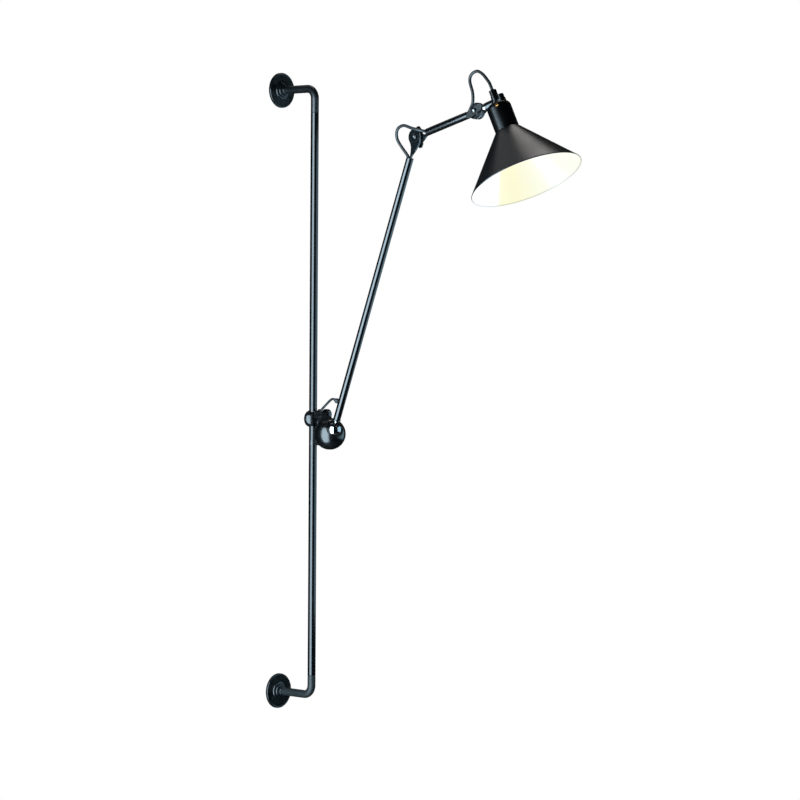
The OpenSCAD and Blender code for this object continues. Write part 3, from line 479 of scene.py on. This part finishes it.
knobBlack = {"colour": (0.0004, 0.0004, 0.0005), "second": (0.0008, 0.0008, 0.0009),
             "rough": (0.12, 0.2), "bump": 0.03, "coat": 0.4, "coatRough": 0.06,
             "edge": (0.008, 0.009, 0.01), "edgeRadius": 0.0004}


def newFinish(name):
    material = bpy.data.materials.new(name)
    material.use_nodes = True
    tree = material.node_tree
    surface = tree.nodes["Principled BSDF"]
    place = tree.nodes.new("ShaderNodeTexCoord").outputs["Object"]
    return material, tree, surface, place


def paintedFinish(name, given, centre=None):
    # sprayed metal, with worn edges, lathe rings round a centre or a crown if they are given
    settings = {**paintDefaults, **given}
    material, tree, surface, place = newFinish(name)
    coat = useGroup(tree, sprayGroup, place, {
        "Rough Low": settings["rough"][0], "Rough High": settings["rough"][1],
        "Peel Scale": settings["peelScale"]})
    colour = addMix(tree, addRange(tree, coat["Patches"], settings["patchBand"]),
                    settings["colour"], settings["second"])
    if "edge" in settings:
        worn = useGroup(tree, edgeGroup, place, {
            "Radius": settings["edgeRadius"], "Break Up": settings["breakUp"]})
        colour = addMix(tree, worn["Edge"], colour, settings["edge"])
    height = coat["Height"]
    if centre is not None:
        rings = useGroup(tree, ringsGroup, localPlace(tree, place, centre),
                         {"Pitch": settings["ringPitch"]})
        height = addMath(tree, "ADD", height, addMath(tree, "MULTIPLY", rings["Height"],
                                                      settings["ringDepth"]))
    tree.links.new(colour, surface.inputs["Base Color"])
    tree.links.new(coat["Roughness"], surface.inputs["Roughness"])
    for label, key in (("Specular IOR Level", "specular"), ("IOR", "ior"),
                       ("Coat Weight", "coat"), ("Coat Roughness", "coatRough")):
        surface.inputs[label].default_value = settings[key]
    bump = addBump(tree, surface, height, settings["bump"], settings["bumpDepth"])
    if "crown" in settings:
        # a turned face is shaded as if it fell away from its apex along a circle
        apex, front, radius = settings["crown"]
        level = splitPlace(tree, place)["Y"]
        run = addMath(tree, "SUBTRACT", addMath(tree, "MAXIMUM", level, front), apex)
        fall = addMath(tree, "MULTIPLY", addMath(tree, "MULTIPLY", run, run), -0.5 / radius)
        crown = tree.nodes.new("ShaderNodeBump")
        crown.inputs["Distance"].default_value = 1.0
        tree.links.new(fall, crown.inputs["Height"])
        tree.links.new(crown.outputs["Normal"], bump.inputs["Normal"])
    return material


# bare metal

brightSteel = {"colour": (0.78, 0.79, 0.8), "rough": (0.14, 0.3)}
contactBrass = {"colour": (0.75, 0.55, 0.25), "rough": (0.2, 0.35)}
metalMarks = {"stretch": (1, 1, 0.06), "lines": (1800.0, 3, 0.6), "grime": (180.0, 4, 0.6),
              "grimeBand": (0.4, 0.75), "grimeShade": 0.55, "bump": 0.15, "bumpDepth": 0.00003}


def metalFinish(name, settings):
    # fine brush marks and a little grime
    material, tree, surface, place = newFinish(name)
    marks = tree.nodes.new("ShaderNodeMapping")
    marks.inputs["Scale"].default_value = metalMarks["stretch"]
    tree.links.new(place, marks.inputs["Vector"])
    lines = addNoise(tree, marks.outputs["Vector"], metalMarks["lines"])
    grime = addRange(tree, addNoise(tree, place, metalMarks["grime"]), metalMarks["grimeBand"])
    soiled = tuple(c * metalMarks["grimeShade"] for c in settings["colour"])
    tree.links.new(addMix(tree, grime, settings["colour"], soiled), surface.inputs["Base Color"])
    tree.links.new(addRange(tree, lines, noiseBand, *settings["rough"]),
                   surface.inputs["Roughness"])
    surface.inputs["Metallic"].default_value = 1.0
    addBump(tree, surface, lines, metalMarks["bump"], metalMarks["bumpDepth"])
    return material


# the two elbow bolts: blackened, with the slotted middle rubbed bare by the screwdriver

boltSettings = {"centres": ((-0.008, -0.368826, 1.103003), (-0.008, -0.522781, 1.146567)),
                "bare": 0.002, "fade": 0.0005, "black": (0.003, 0.003, 0.0035),
                "bright": (0.5, 0.49, 0.46), "rub": (900.0, 3, 0.6), "rubShift": 0.0006,
                "rough": (0.2, 0.34), "bump": 0.08, "bumpDepth": 0.00003}


def boltFinish(settings):
    material, tree, surface, place = newFinish("elbowBolt")
    reaches = []
    for centre in settings["centres"]:
        parts = splitPlace(tree, localPlace(tree, place, centre))
        reaches.append(addReach(tree, parts["Y"], parts["Z"]))
    nearest = addMath(tree, "MINIMUM", *reaches)
    rub = addNoise(tree, place, settings["rub"])
    edge = addMath(tree, "ADD", nearest, addMath(tree, "MULTIPLY", rub, settings["rubShift"]))
    bare = addRange(tree, edge, (settings["bare"] + settings["fade"], settings["bare"]))
    tree.links.new(addMix(tree, bare, settings["black"], settings["bright"]),
                   surface.inputs["Base Color"])
    tree.links.new(bare, surface.inputs["Metallic"])
    tree.links.new(addRange(tree, rub, noiseBand, *settings["rough"]), surface.inputs["Roughness"])
    addBump(tree, surface, rub, settings["bump"], settings["bumpDepth"])
    return material


# moulded rubber and nylon, with a matt skin

rubberColour = (0.003, 0.0032, 0.0035)
nylonColour = (0.02, 0.021, 0.023)
mouldedSettings = {"skin": (1500.0, 3, 0.6), "bloom": (120.0, 4, 0.6), "bloomBand": (0.4, 0.7),
                   "bloomShade": 1.7, "rough": (0.5, 0.68), "bump": 0.1, "bumpDepth": 0.00004}


def mouldedFinish(name, colour, settings):
    material, tree, surface, place = newFinish(name)
    skin = addNoise(tree, place, settings["skin"])
    bloom = addNoise(tree, place, settings["bloom"])
    bloomed = tuple(c * settings["bloomShade"] for c in colour)
    tree.links.new(addMix(tree, addRange(tree, bloom, settings["bloomBand"]), colour, bloomed),
                   surface.inputs["Base Color"])
    tree.links.new(addRange(tree, bloom, noiseBand, *settings["rough"]),
                   surface.inputs["Roughness"])
    addBump(tree, surface, skin, settings["bump"], settings["bumpDepth"])
    return material


cordFinishSettings = {"colour": (0.0016, 0.0024, 0.0028), "ridge": (0.005, 0.0075, 0.0085),
                      "around": 8.0, "pitch": 1.1, "fuzz": (2200.0, 2, 0.6), "strandShare": 0.8,
                      "ridgeBand": (0.5, 0.95), "rough": (0.38, 0.55), "sheen": 0.05,
                      "sheenRough": 0.4, "bump": 0.25, "bumpDepth": 0.00008}


def cordFinish(settings):
    # woven sleeve: two sets of crossing strands on the cord's own UV map
    material, tree, surface, place = newFinish("wovenCord")
    uv = tree.nodes.new("ShaderNodeUVMap")
    uv.uv_map = "braid"
    parts = splitPlace(tree, uv.outputs["UV"])
    around = addMath(tree, "MULTIPLY", parts["X"], settings["around"] * math.tau)
    along = addMath(tree, "MULTIPLY", parts["Y"], settings["pitch"] * math.tau * 2)
    strands = []
    for way in ("ADD", "SUBTRACT"):
        wave = addMath(tree, "SINE", addMath(tree, way, around, along))
        strands.append(addMath(tree, "ABSOLUTE", wave))
    fuzz = addNoise(tree, place, settings["fuzz"])
    weave = addBlend(tree, addMath(tree, "MAXIMUM", *strands), fuzz, settings["strandShare"])
    tree.links.new(addMix(tree, addRange(tree, weave, settings["ridgeBand"]), settings["colour"],
                          settings["ridge"]), surface.inputs["Base Color"])
    tree.links.new(addRange(tree, fuzz, noiseBand, *settings["rough"]),
                   surface.inputs["Roughness"])
    surface.inputs["Sheen Weight"].default_value = settings["sheen"]
    surface.inputs["Sheen Roughness"].default_value = settings["sheenRough"]
    addBump(tree, surface, weave, settings["bump"], settings["bumpDepth"])
    return material


# the head's own frame: Z runs from its top down to the shade's rim

headSettings = {
    "centre": (-0.008, -0.569383, 1.161709),
    "tilt": 26.5,
    # the shade's cone, by the middle of its wall
    "neckRadius": 0.024,
    "neckHeight": 0.0607,
    "slope": 0.8077,
}
headTurn = (math.radians(180 - headSettings["tilt"]), 0, 0)


def splitHeadPlace(tree, place):
    return splitPlace(tree, localPlace(tree, place, headSettings["centre"], headTurn))


# the shade: black outside and white inside, told apart by the side of the wall's middle

shadeSettings = {
    "outside": (0.0006, 0.0006, 0.0007), "outsideSecond": (0.001, 0.001, 0.0012),
    "inside": (0.08, 0.078, 0.072), "insideSecond": (0.075, 0.073, 0.066),
    "patchBand": (0.35, 0.65), "sideBand": (0.0001, -0.0001),
    "rough": (0.3, 0.38), "peelScale": 700.0, "bump": 0.06, "bumpDepth": 0.00006,
    # painted light on the lining: the colours it glows in by side, and a dimmer lip at the rim as
    # painted shade; the lining's own colour is kept dark under it
    "warmGlow": (0.89, 0.855, 0.57), "paleGlow": (0.84, 0.84, 0.72),
    "whiteGlow": (0.96, 0.96, 0.96),
    "warmAngle": 15, "warmBand": (0.42, 0.95), "whiteBand": (-0.04, 0.06),
    "rim": 0.163, "rimFade": 0.001, "rimGlow": 0.66,
}


def shadeFinish(settings):
    material, tree, surface, place = newFinish("shadePaint")
    coat = useGroup(tree, sprayGroup, place, {
        "Rough Low": settings["rough"][0], "Rough High": settings["rough"][1],
        "Peel Scale": settings["peelScale"]})
    parts = splitHeadPlace(tree, place)
    reach = addReach(tree, parts["X"], parts["Y"])
    rise = addMath(tree, "SUBTRACT", parts["Z"], headSettings["neckHeight"])
    middle = addMath(tree, "ADD", addMath(tree, "MULTIPLY", rise, headSettings["slope"]),
                     headSettings["neckRadius"])
    inside = addRange(tree, addMath(tree, "SUBTRACT", reach, middle), settings["sideBand"])
    patches = addRange(tree, coat["Patches"], settings["patchBand"])
    black = addMix(tree, patches, settings["outside"], settings["outsideSecond"])
    white = addMix(tree, patches, settings["inside"], settings["insideSecond"])
    tree.links.new(addMix(tree, inside, black, white), surface.inputs["Base Color"])
    tree.links.new(coat["Roughness"], surface.inputs["Roughness"])
    addBump(tree, surface, coat["Height"], settings["bump"], settings["bumpDepth"])
    # painted light: the lining glows as if lit by the lamp, white on one side, cream on the other
    # and palest in the middle of that side
    angle = math.radians(settings["warmAngle"])
    aside = addMath(tree, "ADD", addMath(tree, "MULTIPLY", parts["X"], math.cos(angle)),
                    addMath(tree, "MULTIPLY", parts["Y"], math.sin(angle)))
    share = addMath(tree, "DIVIDE", aside, reach)
    paintedCreamLight = addMix(tree, addRange(tree, share, settings["warmBand"]), settings["warmGlow"],
                   settings["paleGlow"])
    paintedLiningLight = addMix(tree, addRange(tree, share, settings["whiteBand"]), settings["whiteGlow"],
                    paintedCreamLight)
    # painted shade: the lining's painted light is dimmer on the rim's lip
    rimBand = (settings["rim"], settings["rim"] + settings["rimFade"])
    paintedLightStrength = addRange(tree, parts["Z"], rimBand, 1.0, settings["rimGlow"])
    tree.links.new(addMix(tree, inside, (0, 0, 0), paintedLiningLight), surface.inputs["Emission Color"])
    tree.links.new(paintedLightStrength, surface.inputs["Emission Strength"])
    return material


holderSettings = {"colour": (0.82, 0.79, 0.72), "second": (0.7, 0.66, 0.58),
                  "patches": (160.0, 4, 0.6), "patchBand": (0.35, 0.7), "rough": (0.25, 0.4),
                  "grain": (900.0, 2, 0.5), "bump": 0.15, "bumpDepth": 0.00005,
                  "glow": (1.0, 0.62, 0.2), "glowStrength": 0.9, "glowBelow": 0.0195,
                  "glowFade": 0.002}


def holderFinish(settings):
    # glazed moulding, with painted light: a warm glow on the shoulder that the vents show,
    # standing in for the lamp's light
    material, tree, surface, place = newFinish("holderMoulding")
    patches = addNoise(tree, place, settings["patches"])
    tree.links.new(addMix(tree, addRange(tree, patches, settings["patchBand"]),
                          settings["colour"], settings["second"]), surface.inputs["Base Color"])
    tree.links.new(addRange(tree, patches, noiseBand, *settings["rough"]),
                   surface.inputs["Roughness"])
    addBump(tree, surface, addNoise(tree, place, settings["grain"]), settings["bump"],
            settings["bumpDepth"])
    # painted light: the shoulder above this height glows warm
    glowBand = (settings["glowBelow"] + settings["glowFade"], settings["glowBelow"])
    paintedVentGlow = addRange(tree, splitHeadPlace(tree, place)["Z"], glowBand)
    tree.links.new(addMix(tree, paintedVentGlow, (0, 0, 0), settings["glow"]),
                   surface.inputs["Emission Color"])
    surface.inputs["Emission Strength"].default_value = settings["glowStrength"]
    return material


bulbSettings = {"glass": (1.0, 0.96, 0.88), "second": (0.94, 0.92, 0.86),
                "mottle": (90.0, 3, 0.5), "rough": 0.15, "bump": 0.05, "bumpDepth": 0.0001,
                "glow": (1.0, 0.9, 0.7), "strength": 9.0, "collarShare": 0.35,
                "collarBand": (0.07, 0.09)}


def bulbFinish(settings):
    # opal glass, lit from within: brightest at the globe and dimmer at its collar
    material, tree, surface, place = newFinish("opalGlass")
    globe = addRange(tree, splitHeadPlace(tree, place)["Z"], settings["collarBand"])
    mottle = addNoise(tree, place, settings["mottle"])
    tree.links.new(addMix(tree, addRange(tree, mottle, noiseBand), settings["glass"],
                          settings["second"]), surface.inputs["Base Color"])
    dim = tuple(c * settings["collarShare"] for c in settings["glow"])
    tree.links.new(addMix(tree, globe, dim, settings["glow"]), surface.inputs["Emission Color"])
    surface.inputs["Emission Strength"].default_value = settings["strength"]
    surface.inputs["Roughness"].default_value = settings["rough"]
    addBump(tree, surface, mottle, settings["bump"], settings["bumpDepth"])
    return material


nutFinish = paintedFinish("nutBlack", nutBlack)
cordWeave = cordFinish(cordFinishSettings)


def dressNodes():
    # every node of the part gets its finish
    wearers = {
        paintedFinish("castBlack", castBlack): ("ball_housing", "socket_ring", "head_bracket"),
        paintedFinish("barrelBlack", barrelBlack): ("clamp_barrel",),
        paintedFinish("plateBlack", plateBlack): (
            "lower_arm_plate", "upper_inner_plate", "upper_outer_plate", "neck_plate"),
        paintedFinish("tubeBlack", tubeBlack): (
            "foot_ferrule", "lower_arm_tube", "upper_arm_tube", "swivel_sleeve", "head_gland"),
        paintedFinish("railBlack", wallBlack): ("rail_tube",),
        paintedFinish("endPipeBlack", endPipeBlack): ("upper_end_pipe",),
        paintedFinish("lowerPipeBlack", lowerPipeBlack): ("lower_end_pipe",),
        paintedFinish("cupBlack", cupBlack): ("head_cup",),
        nutFinish: ("elbow_1_wing_nut", "elbow_2_wing_nut", "cap_screw", "pinch_bolt",
                    "flange_grub_screws"),
        paintedFinish("knobBlack", knobBlack): ("clamp_knob",),
        paintedFinish("ballChrome", ballChrome): ("arm_ball",),
        metalFinish("brightSteel", brightSteel): (
            "rail_nipples", "clamp_washer", "neck_spacer", "lamp_cap"),
        boltFinish(boltSettings): ("elbow_1_bolt", "elbow_2_bolt"),
        metalFinish("contactBrass", contactBrass): ("holder_shell", "centre_contact"),
        mouldedFinish("mouldedRubber", rubberColour, mouldedSettings): (
            "foot_gland", "inlet_grommet", "arm_grommet", "elbow_1_washer", "elbow_2_washer",
            "gland_bush"),
        mouldedFinish("greyNylon", nylonColour, mouldedSettings): ("rail_bush", "ball_seat"),
        cordWeave: ("lower_arm_cable", "upper_arm_cable"),
        holderFinish(holderSettings): ("lamp_holder", "shade_ring"),
        shadeFinish(shadeSettings): ("shade",),
        bulbFinish(bulbSettings): ("lamp_bulb",),
        paintedFinish("lowerFlangeBlack", flangeBlack, (0, 0, 0)): ("lower_flange",),
        paintedFinish("upperFlangeBlack", flangeBlack, (0, 0, flangeSpan)): ("upper_flange",),
    }
    for material, names in wearers.items():
        for name in names:
            mesh = nodes[name].data
            if not mesh.materials:
                mesh.materials.append(material)
            for i in range(len(mesh.materials)):
                mesh.materials[i] = material


dressNodes()
for cord in cords:
    cord.data.materials.append(cordWeave)
print("finishes given to", len(nodes), "nodes and", len(cords), "cord pieces")


# wall screws, in the flanges' holes

screwSettings = {"circle": 0.026, "first": 90, "turns": {"lower": (20, 75, -35),
                                                         "upper": (50, -60, 5)},
                 "face": -0.0043, "head": 0.0041, "shank": 0.002, "cone": 0.0021, "foot": 0.004,
                 "slot": 0.0011, "slotDepth": 0.0009, "sides": 40, "snap": 0.000001,
                 "smooth": 30}


def makeScrew(name, place, turn, settings):
    # a disc is cut by two planes, the strip between them sinks and the rim is drawn to the shank
    bm = bmesh.new()
    bmesh.ops.create_circle(bm, cap_ends=True, segments=settings["sides"],
                            radius=settings["head"])
    half = settings["slot"] / 2
    for side in (-half, half):
        bmesh.ops.bisect_plane(bm, geom=bm.verts[:] + bm.edges[:] + bm.faces[:],
                               dist=settings["snap"], plane_co=(side, 0, 0), plane_no=(1, 0, 0))
    strip = [face for face in bm.faces if abs(face.calc_center_median().x) < half]
    sunk = bmesh.ops.extrude_face_region(bm, geom=strip)["geom"]
    bmesh.ops.translate(bm, verts=partsOf(sunk, bmesh.types.BMVert),
                        vec=(0, 0, -settings["slotDepth"]))
    bmesh.ops.delete(bm, geom=[face for face in strip if face.is_valid], context="FACES_ONLY")
    for height in (settings["cone"], settings["foot"]):
        rim = [edge for edge in bm.edges if edge.is_boundary]
        drawn = bmesh.ops.extrude_edge_only(bm, edges=rim)["geom"]
        for vert in partsOf(drawn, bmesh.types.BMVert):
            flat = Vector((vert.co.x, vert.co.y, 0)).normalized() * settings["shank"]
            vert.co = Vector((flat.x, flat.y, -height))
    end = [edge for edge in bm.edges if edge.is_boundary]
    bmesh.ops.holes_fill(bm, edges=end, sides=0)
    turned = Matrix.Rotation(math.radians(turn), 4, "Z")
    upright = Matrix.Rotation(math.radians(90), 4, "X") @ turned
    bmesh.ops.transform(bm, matrix=Matrix.Translation(place) @ upright, verts=bm.verts[:])
    screw = putInScene(name, bm, smooth=settings["smooth"])
    screw.data.materials.append(nutFinish)
    return screw


def makeScrews(settings):
    for level, label in ((0, "lower"), (flangeSpan, "upper")):
        turns = settings["turns"][label]
        for i, turn in enumerate(turns):
            angle = math.radians(settings["first"] + 360 / len(turns) * i)
            place = (settings["circle"] * math.cos(angle), settings["face"],
                     level + settings["circle"] * math.sin(angle))
            screw = makeScrew(label + "Screw" + str(i + 1), place, turn, settings)
            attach(screw, "wall_rail")


makeScrews(screwSettings)
print("wall screws placed")


# floor and light

floorSettings = {"height": -1.05, "radius": 9.0, "sides": 96, "colour": (0.7, 0.7, 0.695),
                 "grain": (60.0, 4, 0.5), "grainShade": 0.985, "rough": 0.7, "mirrored": 0.12,
                 "whiteBand": (0.6, 2.6), "leastWhite": 0.75}


def mixShaders(tree, factor, first, second, target):
    mixed = tree.nodes.new("ShaderNodeMixShader")
    tree.links.new(factor, mixed.inputs["Fac"])
    tree.links.new(first, mixed.inputs[1])
    tree.links.new(second, mixed.inputs[2])
    tree.links.new(mixed.outputs["Shader"], tree.nodes[target].inputs["Surface"])


def makeFloor(settings):
    bm = bmesh.new()
    bmesh.ops.create_circle(bm, cap_ends=True, segments=settings["sides"],
                            radius=settings["radius"])
    bmesh.ops.translate(bm, verts=bm.verts[:], vec=(0, 0, settings["height"]))
    floor = putInScene("floor", bm, smooth=0)
    material, tree, surface, place = newFinish("paleFloor")
    grain = addRange(tree, addNoise(tree, place, settings["grain"]), noiseBand)
    pale = addMix(tree, grain, settings["colour"],
                  tuple(c * settings["grainShade"] for c in settings["colour"]))
    # the glossy black mirrors a darker floor than the camera sees, as in the photo
    seen = tree.nodes.new("ShaderNodeLightPath").outputs["Is Camera Ray"]
    dark = tuple(c * settings["mirrored"] for c in settings["colour"])
    tree.links.new(addMix(tree, seen, dark, pale), surface.inputs["Base Color"])
    surface.inputs["Roughness"].default_value = settings["rough"]
    # to the camera the floor fades into the white behind it
    length = tree.nodes.new("ShaderNodeVectorMath")
    length.operation = "LENGTH"
    tree.links.new(place, length.inputs[0])
    fade = addRange(tree, length.outputs["Value"], settings["whiteBand"],
                    settings["leastWhite"], 1.0)
    white = tree.nodes.new("ShaderNodeEmission").outputs["Emission"]
    mixShaders(tree, addMath(tree, "MULTIPLY", seen, fade), surface.outputs["BSDF"], white,
               "Material Output")
    floor.data.materials.append(material)


# each box stands at a place and faces a point of the lamp

lightSettings = {
    "leftBox": {"place": (-0.94, -0.237, 0.165), "faces": (0, -0.053, 0.165), "width": 0.96,
                "height": 2.33, "watts": 97, "colour": (0.66, 0.86, 1.0)},
    "rightBox": {"place": (0.8, -0.99, 0.6), "faces": (0, -0.16, 0.6), "width": 1.5,
                 "height": 1.16, "watts": 13.9, "colour": (0.5, 0.8, 1.0)},
    "backBox": {"place": (1.36, 0.65, 4.15), "faces": (0, -0.6, 1.1), "width": 1.5,
                "height": 1.1, "watts": 18, "colour": (1.0, 0.97, 0.95)},
    "topBox": {"place": (0.12, 1.07, 2.91), "faces": (0, -0.6, 1.05), "width": 0.74,
               "height": 1.25, "watts": 2.0, "colour": (0.93, 0.95, 1.0)},
}


def makeLights(settings):
    for name, box in settings.items():
        data = bpy.data.lights.new(name, "AREA")
        data.shape = "RECTANGLE"
        data.size = box["width"]
        data.size_y = box["height"]
        data.energy = box["watts"]
        data.color = box["colour"]
        light = bpy.data.objects.new(name, data)
        light.location = box["place"]
        light.rotation_mode = "QUATERNION"
        away = Vector(box["place"]) - Vector(box["faces"])
        light.rotation_quaternion = away.to_track_quat("Z", "Y")
        light.visible_camera = False
        bpy.context.scene.collection.objects.link(light)


# the camera sees white round the lamp, and the lamp itself gets only a faint light from there

worldSettings = {"colour": (0.8, 0.9, 1.0), "strength": 0.02, "seen": (1, 1, 1)}


def makeWorld(settings):
    world = bpy.data.worlds.new("studio")
    bpy.context.scene.world = world
    world.use_nodes = True
    tree = world.node_tree
    ambient = tree.nodes["Background"]
    ambient.inputs["Color"].default_value = settings["colour"] + (1,)
    ambient.inputs["Strength"].default_value = settings["strength"]
    white = tree.nodes.new("ShaderNodeBackground")
    white.inputs["Color"].default_value = settings["seen"] + (1,)
    seen = tree.nodes.new("ShaderNodeLightPath").outputs["Is Camera Ray"]
    mixShaders(tree, seen, ambient.outputs["Background"], white.outputs["Background"],
               "World Output")


makeFloor(floorSettings)
makeLights(lightSettings)
makeWorld(worldSettings)
print("floor and lights placed")
